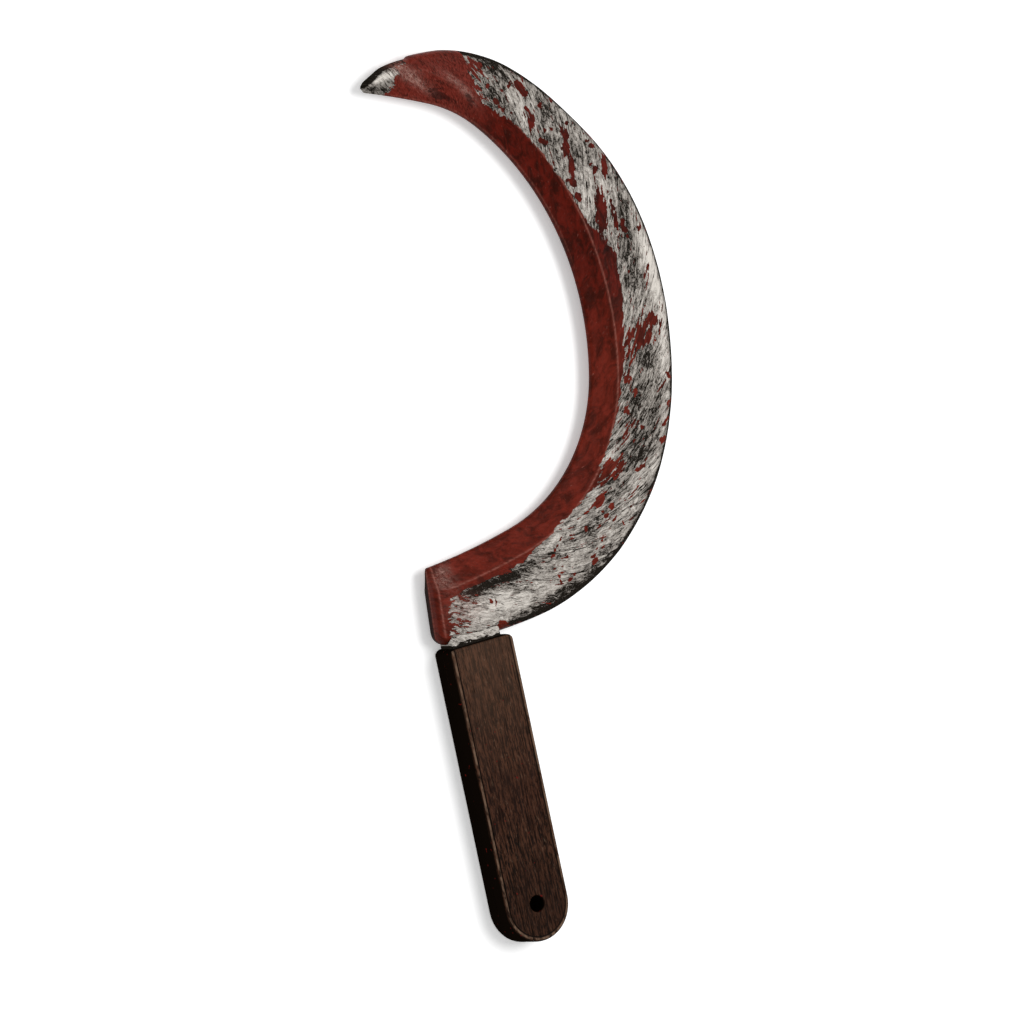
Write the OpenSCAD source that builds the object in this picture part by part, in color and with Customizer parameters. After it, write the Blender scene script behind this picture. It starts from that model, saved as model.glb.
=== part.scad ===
// Stage sickle in moulded plastic. Two hollow blade halves are welded along a parting plane and
// end in a plug. Two hollow handle halves close round the plug, held by four screws from the back.
// Frame: the origin is where the hanging hole's axis meets the handle's back face. +Y runs along
// the handle towards the blade, +X to the belly of the crescent, +Z out of the front face.

/* [Handle] */
// Distance from the hanging hole to the end that grips the blade
handle_l = 139; // [115:0.5:170]
// Width of the handle, which is also the diameter of its round butt
handle_w = 39.5; // [32:0.5:48]
// Thickness of the handle, both halves together
handle_t = 17; // [14:0.5:21]
// Wall of the handle halves
handle_wall = 2.6; // [2:0.1:3.2]
// Rounding of the handle's long edges
handle_edge_r = 1.6; // [1:0.1:2.4]
// Chamfer around the handle's open end
handle_chamfer = 0.8; // [0.4:0.1:1.2]
// Depth of the fine line pressed into the faces just inside the rounded edge
rim_line_d = 0.35; // [0.2:0.05:0.6]
// Diameter of the hanging hole
hang_d = 8.4; // [6:0.2:10.2]
// Wall of the collar around the hanging hole
collar_wall = 2.4; // [1.6:0.1:3.2]

/* [Blade] */
// Widest part of the blade, from the inner edge to the spine
blade_w = 49.8; // [41:0.2:60]
// Width of the heel, where the blade starts above the handle
heel_w = 41; // [34:0.5:50]
// Width left at the blunt tip
tip_w = 4.6; // [3.8:0.1:6]
// Thickness of the blade, both halves together
blade_t = 12; // [10:0.5:14.5]
// Share of the thickness that is left at the tip
tip_thin = 0.75; // [0.6:0.01:1]
// Size of the crescent: 1 gives a bow of 156 mm radius
bow_scale = 1; // [0.8:0.01:1.2]
// Wall of the blade halves
blade_wall = 2; // [1.6:0.1:2.4]
// Width of the bevel along the inner edge
bevel_w = 13.2; // [10:0.2:16]
// Thickness of the blunt inner edge
edge_t = 3; // [2:0.1:4]
// Rounding of the spine
spine_r = 4.6; // [3:0.1:4.8]
// Height of the small step where the bevel runs out at the spine near the tip
spine_step = 1.2; // [0.5:0.1:2]

/* [Joints] */
// Gap between the blade's heel and the end of the handle
heel_gap = 2.4; // [2:0.1:4]
// Length of the plug inside the handle
plug_l = 42; // [35:0.2:50.4]
// Wall of the hollow plug
plug_wall = 2.2; // [1.8:0.1:2.6]
// Clearance between the plug, the handle and its bosses; the hollow's corners are rounded to fit
fit_gap = 0.2; // [0.1:0.05:0.3]
// Radius of the self-tapping screws over their threads
screw_r = 1.45; // [1.2:0.05:1.7]
// Clearance round the screw shank
screw_gap = 0.15; // [0.1:0.05:0.25]
// Radius of the pan head
head_r = 2.9; // [2.5:0.1:3.2]
// Height of the pan head
head_h = 1.9; // [1.5:0.1:2.2]
// Depth of the well that sinks each screw head
well_d = 3; // [2.6:0.1:3.6]
// Wall of the screw bosses around the well
boss_wall = 1.3; // [1:0.1:1.6]
// Radius of the locating pegs
peg_r = 1.8; // [1.4:0.1:2.2]
// Clearance between a peg and its socket
peg_gap = 0.1; // [0.05:0.05:0.2]

/* [Hidden] */
$fn = 48;

EPS = 0.01;
part_z = handle_t / 2;
handle_h = handle_t / 2;
blade_h = blade_t / 2;

// Inner edge of the crescent: radius and turn of each arc, from the heel to the tip
ARCS = [for (a = [[370, 8.9], [86, 64.2], [156.3, 55.2], [76.5, 23.7], [443, 5.4]])
        [a[0] * bow_scale, a[1]]];
heel_inset = 0.75;
heel_x = heel_inset - handle_w / 2;
heel_heading = 3.5;
heel_slant = 8;
heel_slant_l = 60;
heel_drop = 0.1;
heel_y = handle_l + heel_gap + heel_w - heel_drop;

// Swell from the heel to the belly and taper from the belly to the tip, as shares of the width
// gained or left against the share of the inner edge's length
SWELL = [[0, 0], [0.08, 0.48], [0.16, 0.85], [0.24, 1]];
TAPER = [[0.24, 1], [0.40, 0.985], [0.55, 0.972], [0.63, 0.927], [0.72, 0.81], [0.82, 0.685],
         [0.91, 0.475], [0.97, 0.25], [1, 0]];
belly_u = TAPER[0][0];

// The bevel widens from here on until it takes the whole width at the step in the spine
bevel_grow_u = 0.88;
bevel_grow_w = 5;
step_u = 0.935;

ridge_soft = 1.2;
ridge_swell = 0.08;
edge_soft = 0.4;
flank_h = 0.8;
heel_corner_r = 5;
edge_corner_r = 1.5;
heel_round_r = 2.6;
tip_round_r = 3;
tip_solid_l = 26;
station_step = 6.5;
spine_steps = 5;

arc_l = [for (a = ARCS) a[0] * a[1] * PI / 180];
edge_l = sum(arc_l, len(arc_l));

inner_w = handle_w - 2 * handle_wall;
hollow_r = 2 * fit_gap;
plug_shift = 1.2;
plug_w = inner_w - 2 * fit_gap - 2 * plug_shift;
plug_h = handle_h - handle_wall - fit_gap;
plug_end_y = handle_l - plug_l;
plug_root = 9;
neck_sink = 2;
neck_inset = 0.3;
neck_h = min(plug_h, blade_h - neck_inset);
boss_r = head_r + screw_gap * 2 + boss_wall;
collar_r = hang_d / 2 + collar_wall;
rib_t = 1.4;
rib_h = handle_h - handle_wall / 2;
rim_line_in = 1;
free_l = plug_end_y - fit_gap;
SCREW_Y = [free_l * 0.3, free_l * 0.68, plug_end_y + plug_l * 0.3, plug_end_y + plug_l * 0.72];
RIB_Y = [free_l * 0.42, free_l * 0.82, free_l];
HANDLE_PEG_Y = [free_l * 0.5, free_l * 0.9];
BLADE_PEG_U = [0.1, 0.24, 0.4, 0.56, 0.7, 0.82];
peg_in = 2.4;
post_wall = 1.5;
post_r = peg_r + post_wall;
screw_floor = 0.6;
screw_reach = handle_h - handle_wall - screw_floor;
screw_end_gap = 0.4;
thread_pitch = 1.1;
thread_depth = 0.35;
recess_w = 0.8;
recess_l = 3.2;
tip_cap = 0.02;

// Sum of the first n numbers of a list
function sum(v, n) = n <= 0 ? 0 : v[n - 1] + sum(v, n - 1);

// Smooth curve through the points of a table, with level-headed slopes at its ends
function slope(t, i) =
    i <= 0 ? (t[1][1] - t[0][1]) / (t[1][0] - t[0][0]) :
    i >= len(t) - 1 ? (t[i][1] - t[i - 1][1]) / (t[i][0] - t[i - 1][0]) :
    (t[i + 1][1] - t[i - 1][1]) / (t[i + 1][0] - t[i - 1][0]);
function span(t, x, i = 0) = i >= len(t) - 2 || x <= t[i + 1][0] ? i : span(t, x, i + 1);
function hermite(a, b, ma, mb, d, k) =
    a * (1 + 2 * k) * (1 - k) * (1 - k) + ma * d * k * (1 - k) * (1 - k)
    + b * k * k * (3 - 2 * k) - mb * d * k * k * (1 - k);
function smooth(t, x) =
    let (i = span(t, x), d = t[i + 1][0] - t[i][0])
    hermite(t[i][1], t[i + 1][1], slope(t, i), slope(t, i + 1), d, (x - t[i][0]) / d);

// Point and heading on the inner edge at a distance s from the heel: [x, y, heading]
function arc_from(p, r, a) =
    [p[0] + r * (sin(p[2] + a) - sin(p[2])), p[1] - r * (cos(p[2] + a) - cos(p[2])), p[2] + a];
function edge_at(s, i = 0, p = [heel_x, heel_y, heel_heading]) =
    let (a = s / ARCS[i][0] * 180 / PI)
    i == len(ARCS) - 1 || s <= arc_l[i] ? arc_from(p, ARCS[i][0], a) :
    edge_at(s - arc_l[i], i + 1, arc_from(p, ARCS[i][0], ARCS[i][1]));

// Inset of a rounded corner of radius r at a distance d from the end it rounds off
function corner(d, r) = d >= r ? 0 : r - sqrt(max(0, r * r - (r - d) * (r - d)));

// Sizes of the cross-section at a share u of the inner edge's length
function width(u) =
    (u < belly_u ? heel_w + (blade_w - heel_w) * smooth(SWELL, u)
                 : tip_w + (blade_w - tip_w) * smooth(TAPER, u))
    - (u > step_u ? spine_step * (1 - u) / (1 - step_u) : 0);
function half_t(u) =
    let (k = max(0, (u - belly_u) / (1 - belly_u)))
    blade_h * (1 - (1 - tip_thin) * pow(k, 3));
function round_r(u) = min(spine_r, width(u) * 0.35, half_t(u) - flank_h);
function soft(u) = min(ridge_soft, width(u) * 0.1);
function bevel(u) =
    let (k = max(0, (u - bevel_grow_u) / (step_u - bevel_grow_u)))
    min(bevel_w + bevel_grow_w * k, width(u) - round_r(u) - 2 * soft(u));

// Direction from the inner edge towards the spine at a distance s from the heel
function across(s) =
    let (a = edge_at(s)[2] - heel_slant * pow(max(0, 1 - s / heel_slant_l), 2))
    [sin(a), -cos(a)];
// Point at a distance n across the blade and a height z above the parting plane
function blade_point(s, n, z) =
    let (p = edge_at(s), d = across(s))
    [p[0] + n * d[0], p[1] + n * d[1], z];

// Place across the blade with the corners of the heel and the tip rounded off
function rounded(s, n) =
    let (e = edge_l - s, w = width(s / edge_l), tip = corner(e, tip_w / 2 - EPS),
         a = corner(s, edge_corner_r) + tip, b = corner(s, heel_corner_r) + tip)
    a + n * (w - a - b) / w;

// Outer path of the half section: inner edge, bevel, ridge, flat, rounded spine
function outer_path(s) =
    let (u = s / edge_l, w = width(u), r = round_r(u), b = bevel(u), h = half_t(u),
         land = edge_t / 2, rise = (h - land) / b,
         low = corner(s, heel_round_r) + corner(edge_l - s, tip_round_r))
    [for (q = concat(
        [[0, 0], [0, land - edge_soft], [edge_soft, land],
         [b - soft(u), h - soft(u) * (rise + ridge_swell)], [b, h - soft(u) * 0.2], [b + soft(u), h]],
        [for (k = [0 : spine_steps])
            let (a = 90 * k / spine_steps)
            [w - r + r * sin(a), h - r + r * cos(a)]],
        [[w, 0]]))
     [rounded(s, q[0]), q[1] * (h - low) / h]];

// Inner path, one wall inside the outer one, or laid flat on the parting plane where solid
function inner_path(s, open) =
    let (u = s / edge_l, w = width(u), r = round_r(u), b = bevel(u), h = half_t(u),
         in_r = max(0.4, r - blade_wall), top = h - blade_wall,
         rise = (h - edge_t / 2) / b,
         foot = max(blade_wall, (blade_wall * sqrt(1 + rise * rise) - edge_t / 2) / rise + 0.4),
         last = spine_steps + 4)
    !open ? [for (k = [0 : last]) [rounded(s, w * (0.85 - 0.7 * k / last)), 0]] :
    [for (q = concat(
        [[w - blade_wall, 0]],
        [for (k = [0 : spine_steps])
            let (a = 90 * (1 - k / spine_steps))
            [w - blade_wall - in_r + in_r * sin(a), top - in_r + in_r * cos(a)]],
        [[b + soft(u), top], [b - soft(u), top - 2 * soft(u) * rise], [foot, 0]]))
     [rounded(s, q[0]), q[1]]];

STATIONS = concat(
    [0, 0.5, 1.2, 2.2],
    [for (k = [0 : floor((edge_l - tip_solid_l - 4) / station_step)]) 4 + k * station_step],
    [edge_l * step_u - EPS * 10, edge_l * step_u + EPS * 10],
    [for (e = [18, 12, 8, 5.5, 4, 3, 2.2, 1.4, 0.8, 0.35, tip_cap]) edge_l - e]);
function is_open(s) = s > blade_wall + EPS && s < edge_l - tip_solid_l - 1;
function ring(s, open) =
    [for (q = concat(outer_path(s), inner_path(s, open))) blade_point(s, q[0], q[1])];

// Front half of the blade above the parting plane, as one closed sweep of its wall section
module blade_shell() {
    rings = [for (s = STATIONS) ring(s, is_open(s))];
    n = len(rings[0]);
    m = len(rings);
    apex = 5;
    polyhedron(
        points = [for (r = rings) each r],
        faces = concat(
            [for (i = [0 : m - 2], j = [0 : n - 1])
                let (k = (j + 1) % n, a = i * n, b = (i + 1) * n)
                each [[a + j, b + j, a + k], [a + k, b + j, b + k]]],
            [for (j = [1 : n - 2])
                let (p = (apex + j) % n, q = (apex + j + 1) % n)
                each [[apex, p, q], [(m - 1) * n + apex, (m - 1) * n + q, (m - 1) * n + p]]]),
        convexity = 12);
}

// Half of a round-butted bar above its middle plane: width w, length l, height h, edge radius r
module half_bar(w, l, h, r, line = 0) {
    profile = concat(
        [[0, 0], [w / 2, 0]],
        [for (k = [0 : 4]) [w / 2 - r + r * cos(k * 22.5), h - r + r * sin(k * 22.5)]],
        line > 0 ? [[w / 2 - r - rim_line_in, h], [w / 2 - r - rim_line_in - line, h - line],
                    [w / 2 - r - rim_line_in - 2 * line, h]] : [],
        [[0, h]]);
    rotate([0, 0, 180]) rotate_extrude(angle = 180, $fn = 96) polygon(profile);
    for (side = [0, 1])
        mirror([side, 0, 0]) translate([0, l, 0]) rotate([90, 0, 0]) linear_extrude(l)
            polygon(profile);
}

// Cutters that chamfer the edges of the open end
module end_chamfers() {
    side = handle_chamfer * sqrt(2);
    for (x = [-1, 1])
        translate([x * handle_w / 2, handle_l, 0]) rotate([0, 0, 45])
            cube([side, side, handle_t + 2], center = true);
    translate([0, handle_l, handle_h]) rotate([45, 0, 0])
        cube([handle_w + 2, side, side], center = true);
}

// Peg that stands past the parting plane, and the tube that takes it
module peg(h) {
    cylinder(r = peg_r, h = h);
}
module post(h) {
    cylinder(r = post_r, h = h);
}

// Everything that both handle halves have, above the parting plane
module handle_half() {
    difference() {
        half_bar(handle_w, handle_l, handle_h, handle_edge_r, rim_line_d);
        translate([0, 0, -1]) half_bar(inner_w, handle_l + 1, handle_h - handle_wall + 1, hollow_r);
        end_chamfers();
    }
    cylinder(r = collar_r, h = rib_h);
    for (y = SCREW_Y) translate([0, y, 0]) cylinder(r = boss_r, h = rib_h);
    for (y = RIB_Y)
        translate([-inner_w / 2 - EPS, y - rib_t, 0])
            cube([inner_w + 2 * EPS, rib_t, rib_h]);
    translate([plug_w / 2 - plug_shift + fit_gap, plug_end_y, 0])
        cube([inner_w / 2 - plug_w / 2 + plug_shift - fit_gap + EPS, plug_l - handle_chamfer,
              rib_h]);
    for (y = HANDLE_PEG_Y) translate([0, y, 0]) post(rib_h);
}

module bores(r, low, high) {
    for (y = SCREW_Y) translate([0, y, low]) cylinder(r = r, h = high - low);
}
module hang_bore() {
    translate([0, 0, -1]) cylinder(r = hang_d / 2, h = handle_t + 2);
}

module handle_front_half() {
    color([0.20, 0.13, 0.09]) translate([0, 0, part_z]) difference() {
        handle_half();
        hang_bore();
        bores(screw_r + EPS, -1, screw_reach);
        for (y = HANDLE_PEG_Y)
            translate([0, y, -1]) cylinder(r = peg_r + peg_gap, h = peg_in + peg_gap + 1);
    }
}

module handle_back_half() {
    color([0.17, 0.11, 0.08]) translate([0, 0, part_z]) mirror([0, 0, 1]) {
        difference() {
            handle_half();
            hang_bore();
            bores(screw_r + screw_gap, -1, handle_h + 1);
            bores(head_r + screw_gap, handle_h - well_d, handle_h + 1);
        }
        for (y = HANDLE_PEG_Y) translate([0, y, -peg_in]) peg(peg_in + EPS);
    }
}

// Half of the hollow plug, the neck up to the heel and the root inside it, above the parting plane
module plug_half() {
    left = -plug_shift - plug_w / 2;
    translate([left, plug_end_y, 0]) cube([plug_w, plug_l, plug_h]);
    translate([left, handle_l - neck_sink, 0]) cube([plug_w, neck_sink * 2 + heel_gap, neck_h]);
    translate([left, handle_l + heel_gap, 0])
        cube([plug_w, plug_root, min(plug_h, blade_h - blade_wall / 2)]);
}
module plug_hollow() {
    pocket_w = plug_w - 2 * plug_wall;
    difference() {
        translate([-plug_shift - pocket_w / 2, plug_end_y + plug_wall, -1])
            cube([pocket_w, plug_l - 2 * plug_wall, plug_h - plug_wall + 1]);
        for (y = [SCREW_Y[2], SCREW_Y[3]])
            translate([0, y, -2]) cylinder(r = boss_r + fit_gap + plug_wall, h = plug_h + 3);
    }
    for (y = [SCREW_Y[2], SCREW_Y[3]])
        translate([0, y, -2]) cylinder(r = boss_r + fit_gap, h = plug_h + 3);
}

// Height of the hollow above the parting plane where the posts stand
function post_h(u) = half_t(u) - blade_wall / 2;
module at_blade(u) {
    b = bevel(u) + soft(u);
    p = blade_point(u * edge_l, (b + width(u) - round_r(u)) / 2, 0);
    translate(p) children();
}

module blade_half() {
    difference() {
        union() {
            blade_shell();
            plug_half();
            for (u = BLADE_PEG_U) at_blade(u) post(post_h(u));
        }
        plug_hollow();
    }
}

module blade_front_half() {
    color([0.62, 0.61, 0.58]) translate([0, 0, part_z]) difference() {
        blade_half();
        for (u = BLADE_PEG_U) at_blade(u)
            translate([0, 0, -1]) cylinder(r = peg_r + peg_gap, h = peg_in + peg_gap + 1);
    }
}

module blade_back_half() {
    color([0.50, 0.49, 0.47]) translate([0, 0, part_z]) mirror([0, 0, 1]) {
        blade_half();
        for (u = BLADE_PEG_U) at_blade(u) translate([0, 0, -peg_in]) peg(peg_in + EPS);
    }
}

// Pan-head self-tapping screw with a cross recess, head down in its well
module handle_screw(i) {
    seat = well_d;
    tip_z = part_z + screw_reach - screw_end_gap;
    turns = floor((tip_z - seat - 3) / thread_pitch);
    core = screw_r - thread_depth;
    thread = [for (k = [0 : turns - 1]) let (z = tip_z - 1.6 - k * thread_pitch)
                each [[core, z], [screw_r, z - thread_pitch / 2]]];
    color([0.45, 0.45, 0.47]) translate([0, SCREW_Y[i - 1], 0]) difference() {
        rotate_extrude() polygon(concat(
            [[0, seat - head_h], [head_r - 0.7, seat - head_h], [head_r, seat - head_h + 0.8],
             [head_r, seat], [core, seat]],
            [for (k = [len(thread) - 1 : -1 : 0]) thread[k]],
            [[core, tip_z - 1.2], [0.2, tip_z], [0, tip_z]]));
        for (turn = [0, 90])
            rotate([0, 0, turn]) translate([-recess_l / 2, -recess_w / 2, seat - head_h - 1])
                cube([recess_l, recess_w, 1 + head_h * 0.55]);
    }
}

blade_front_half();
blade_back_half();
handle_front_half();
handle_back_half();
handle_screw(1);  // handle_screw_1
handle_screw(2);  // handle_screw_2
handle_screw(3);  // handle_screw_3
handle_screw(4);  // handle_screw_4
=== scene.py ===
import math

import bmesh
import bpy
import numpy as np
from mathutils import Matrix, Vector


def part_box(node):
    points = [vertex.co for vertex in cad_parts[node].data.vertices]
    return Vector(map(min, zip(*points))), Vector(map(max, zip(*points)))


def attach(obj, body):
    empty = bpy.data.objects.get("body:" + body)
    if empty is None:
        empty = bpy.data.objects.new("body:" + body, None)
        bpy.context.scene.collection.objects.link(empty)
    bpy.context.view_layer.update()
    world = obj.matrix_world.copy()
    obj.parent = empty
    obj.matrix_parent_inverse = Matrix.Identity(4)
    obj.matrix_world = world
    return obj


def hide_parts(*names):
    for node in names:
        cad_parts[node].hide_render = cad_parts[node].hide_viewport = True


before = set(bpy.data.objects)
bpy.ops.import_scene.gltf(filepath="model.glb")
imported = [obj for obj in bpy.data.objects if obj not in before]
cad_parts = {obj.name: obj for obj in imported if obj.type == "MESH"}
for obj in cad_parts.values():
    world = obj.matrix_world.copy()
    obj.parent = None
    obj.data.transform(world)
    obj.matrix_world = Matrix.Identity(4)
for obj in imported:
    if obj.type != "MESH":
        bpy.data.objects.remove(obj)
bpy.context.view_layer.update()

MM = 0.001

# ---------------------------------------------------------------- sizes, in millimetres

handle_low, handle_high = (np.array(c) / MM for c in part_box("handle_front_half"))
back_low = np.array(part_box("handle_back_half")[0]) / MM
blade_high = np.array(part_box("blade_front_half")[1]) / MM

HANDLE_W = handle_high[0] - handle_low[0]
HANDLE_L = handle_high[1]
HANDLE_T = handle_high[2] - back_low[2]
PART_Z = back_low[2] + HANDLE_T / 2
HANDLE_EDGE_R = 1.7
HANDLE_CORNER_R = 1.6
HANG_R = 4.2
HANG_FLARE = 0.5
SCREWS = 4
WELL_R = 3.2
WELL_D = 3.0

BLADE_H = blade_high[2] - PART_Z
BLADE_W = 49.8
HEEL_W = 41.0
TIP_W = 4.6
TIP_THIN = 0.75
BEVEL_W = 13.2
EDGE_T = 3.0
SPINE_R = 4.6
SPINE_STEP = 1.2
HEEL_GAP = 2.4
PLUG_W = 31.5
PLUG_X = -1.2
PLUG_H = 5.7
PLUG_EDGE_R = 1.6

# Inner edge of the crescent: radius and turn of each arc, from the heel to the tip
ARCS = [(370, 8.9), (86, 64.2), (156.3, 55.2), (76.5, 23.7), (443, 5.4)]
HEEL_START = (-19.0, HANDLE_L + HEEL_GAP + HEEL_W - 0.1)
HEEL_HEADING = 3.5
HEEL_SLANT = 8.0
HEEL_SLANT_L = 60.0
SWELL = [(0, 0), (0.08, 0.48), (0.16, 0.85), (0.24, 1)]
TAPER = [(0.24, 1), (0.40, 0.985), (0.55, 0.972), (0.63, 0.927), (0.72, 0.81), (0.82, 0.685),
         (0.91, 0.475), (0.97, 0.25), (1, 0)]
BELLY_U = TAPER[0][0]
BEVEL_GROW_U = 0.88
BEVEL_GROW_W = 5.0
STEP_U = 0.935
HEEL_CORNER_R = 5.0
EDGE_CORNER_R = 1.5
HEEL_ROUND_R = 2.6
TIP_ROUND_R = 3.0
EDGE_L = sum(r * math.radians(a) for r, a in ARCS)

# The look stands this far inside the CAD, so that its lumps and its seam stay within the box
WIDTH_INSET = 0.45
FACE_INSET = 0.22
EDGE_INSET = 0.12
HANDLE_INSET = 0.1

# Grid of a blade half: spacing of rows at the ends and between them, and counts
FINE_STEP = 0.16
COARSE_STEP = 0.42
CAP_ROWS = 14
FACE_COLUMNS = 112
SPINE_COLUMNS = 16
# Seam on the parting plane: how far it stands out, its height, and the lip turned in behind it
SEAM_OUT = 0.12
SEAM_H = 0.16
LIP_IN = 1.6
BEVEL_HOLLOW = 0.22
RIDGE_BLEND = 0.5
RIDGE_RISE = 0.2

# Grid of a handle half
HANDLE_COLUMNS = 290
HANDLE_ROWS = 300
EDGE_RINGS = 8
SIDE_RINGS = 13

SHAPE_SEED = 5
FRONT_PAINT_SEED = 5
BACK_PAINT_SEED = 77
FRONT_GRAIN_SEED = 11
BACK_GRAIN_SEED = 47
BACK_DROPS = 46

# Studio: camera turn, lift and roll in degrees; width of view and aim in millimetres
CAMERA_TURN = 32.0
CAMERA_LIFT = 7.0
CAMERA_ROLL = 12.0
FRAME_MM = 526.85
AIM_RIGHT = -13.07
AIM_UP = 201.48
CAMERA_DISTANCE = 2.0
# Light: strengths, and the key's direction, distance and size in metres
WORLD_LIGHT = 0.52
FLOOR_GLOW = 0.32
FLOOR_HALF = 6.0
KEY_WAY = (0.4, 0.16, 0.88)
KEY_DISTANCE = 2.6
KEY_SIZE = 1.7
KEY_WATTS = 48
KEY_AIM = (0.0, 0.17, 0.0)


# ---------------------------------------------------------------- numeric helpers

def column(values):
    """A list of row values as one column, to combine with a row of column values."""
    return values[:, None]


def smoothstep(low, high, x):
    t = np.clip((x - low) / (high - low), 0, 1)
    return t * t * (3 - 2 * t)


def curve(table, x):
    """Smooth curve through a table's points, as in the CAD source."""
    xs, ys = (np.array(c, float) for c in zip(*table))
    slopes = np.empty_like(ys)
    slopes[0] = (ys[1] - ys[0]) / (xs[1] - xs[0])
    slopes[-1] = (ys[-1] - ys[-2]) / (xs[-1] - xs[-2])
    slopes[1:-1] = (ys[2:] - ys[:-2]) / (xs[2:] - xs[:-2])
    i = np.clip(np.searchsorted(xs, x, side="right") - 1, 0, len(xs) - 2)
    d = xs[i + 1] - xs[i]
    k = np.clip((x - xs[i]) / d, 0, 1)
    return (ys[i] * (1 + 2 * k) * (1 - k) ** 2 + slopes[i] * d * k * (1 - k) ** 2
            + ys[i + 1] * k * k * (3 - 2 * k) - slopes[i + 1] * d * k * k * (1 - k))


def lattice(ix, iy, seed):
    """A fixed pseudo-random number from 0 to 1 for each whole-numbered place."""
    h = (ix * 374761393 + iy * 668265263 + seed * 974634777) & 0x7FFFFFFF
    h = ((h ^ (h >> 13)) * 1274126177) & 0x7FFFFFFF
    return ((h ^ (h >> 16)) & 0xFFFF) / 0xFFFF


def noise(x, y, seed):
    """Smooth value noise from 0 to 1 with cells of size 1."""
    fx, fy = np.floor(x), np.floor(y)
    ix, iy = fx.astype(np.int64), fy.astype(np.int64)
    tx, ty = x - fx, y - fy
    tx, ty = tx * tx * (3 - 2 * tx), ty * ty * (3 - 2 * ty)
    low = lattice(ix, iy, seed) * (1 - tx) + lattice(ix + 1, iy, seed) * tx
    high = lattice(ix, iy + 1, seed) * (1 - tx) + lattice(ix + 1, iy + 1, seed) * tx
    return low * (1 - ty) + high * ty


def fractal(x, y, seed, octaves=4, gain=0.5):
    """Layers of noise, each twice as fine as the one before."""
    total, weight, share = 0, 0, 1.0
    for k in range(octaves):
        total = total + share * noise(x * 2 ** k, y * 2 ** k, seed + 17 * k)
        weight += share
        share *= gain
    return total / weight


def turned(x, y, degrees):
    """Places measured along axes that are turned anticlockwise."""
    c, s = math.cos(math.radians(degrees)), math.sin(math.radians(degrees))
    return x * c + y * s, y * c - x * s


# ---------------------------------------------------------------- blade shape

def inner_edge(s):
    """Points and headings of the inner edge at distances s from the heel."""
    x, y, heading = np.zeros_like(s), np.zeros_like(s), np.zeros_like(s)
    px, py, ph, start = HEEL_START[0], HEEL_START[1], math.radians(HEEL_HEADING), 0.0
    for k, (r, a) in enumerate(ARCS):
        length = r * math.radians(a)
        here = (s >= start) & ((s < start + length) | (k == len(ARCS) - 1))
        h = ph + (s - start) / r
        x = np.where(here, px + r * (np.sin(h) - math.sin(ph)), x)
        y = np.where(here, py - r * (np.cos(h) - math.cos(ph)), y)
        heading = np.where(here, h, heading)
        end = ph + math.radians(a)
        px, py = px + r * (math.sin(end) - math.sin(ph)), py - r * (math.cos(end) - math.cos(ph))
        ph, start = end, start + length
    return x, y, heading


def width_at(u):
    """Width of the blade at a share u of the inner edge's length."""
    swell = HEEL_W + (BLADE_W - HEEL_W) * curve(SWELL, np.minimum(u, BELLY_U))
    taper = TIP_W + (BLADE_W - TIP_W) * curve(TAPER, np.maximum(u, BELLY_U))
    step = SPINE_STEP * (1 - u) / (1 - STEP_U) * smoothstep(STEP_U - 0.001, STEP_U + 0.001, u)
    return np.where(u < BELLY_U, swell, taper) - step


def half_t_at(u):
    """Half the blade's thickness at a share u of the inner edge's length."""
    k = np.clip((u - BELLY_U) / (1 - BELLY_U), 0, 1)
    return BLADE_H * (1 - (1 - TIP_THIN) * k ** 3)


def corner(d, r):
    """Inset of a rounded corner of radius r at a distance d from the end it rounds off."""
    return np.where(d >= r, 0.0, r - np.sqrt(np.maximum(0, r * r - (r - d) ** 2)))


def soft_min(a, b, k):
    """The smaller of two values, blended over the stretch k where they meet."""
    h = np.clip(0.5 + 0.5 * (b - a) / k, 0, 1)
    return b * (1 - h) + a * h - k * h * (1 - h)


def blade_rows():
    """Distance along the blade of each row, and the share of the height it keeps at the caps."""
    s = np.concatenate([np.arange(0, 6, FINE_STEP), np.arange(6, EDGE_L - 12, COARSE_STEP),
                        np.arange(EDGE_L - 12, EDGE_L - 0.02, FINE_STEP), [EDGE_L - 0.01]])
    cap_in = np.linspace(0, 1, CAP_ROWS, endpoint=False)
    s_rows = np.concatenate([np.zeros(CAP_ROWS), s, np.full(CAP_ROWS, s[-1])])
    return s_rows, np.concatenate([cap_in, np.ones(len(s)), cap_in[::-1]])


def bevel_at(u, w, r):
    """Width of the bevel, which grows near the tip and leaves room for the flat and the spine."""
    grow = np.clip((u - BEVEL_GROW_U) / (STEP_U - BEVEL_GROW_U), 0, None)
    bevel = np.minimum(BEVEL_W + BEVEL_GROW_W * grow, w - r - 0.2 * w)
    return np.minimum(bevel, w - r - 0.4)


def face_height(s_rows, face, h, bevel, ridge_fade):
    """Height of bevel, ridge and flat, with the gentle lumps of a hand-made mould."""
    land = EDGE_T / 2
    slope = column((h - land) / bevel)
    hollow = BEVEL_HOLLOW * np.sin(np.pi * np.clip(face / column(bevel), 0, 1))
    flat = column(h) - FACE_INSET
    z = soft_min(land + slope * face - hollow, flat + 0 * face, RIDGE_BLEND)
    ridge = RIDGE_RISE * np.exp(-((face - column(bevel) - 0.3) / 0.8) ** 2)
    z = (z + ridge * ridge_fade) * smoothstep(-1.2, 1.0, face)
    along = column(s_rows) + 0 * face
    lumps = 0.42 * (fractal(along / 13, face / 9, SHAPE_SEED + 3, 3) - 0.5)
    lumps += 0.16 * (fractal(along / 3.1, face / 2.3, SHAPE_SEED + 5, 2) - 0.5)
    z = np.minimum(z + lumps * smoothstep(0, 2.5, face), column(h))
    z[:, 0] = land - 0.25
    return z


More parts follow.
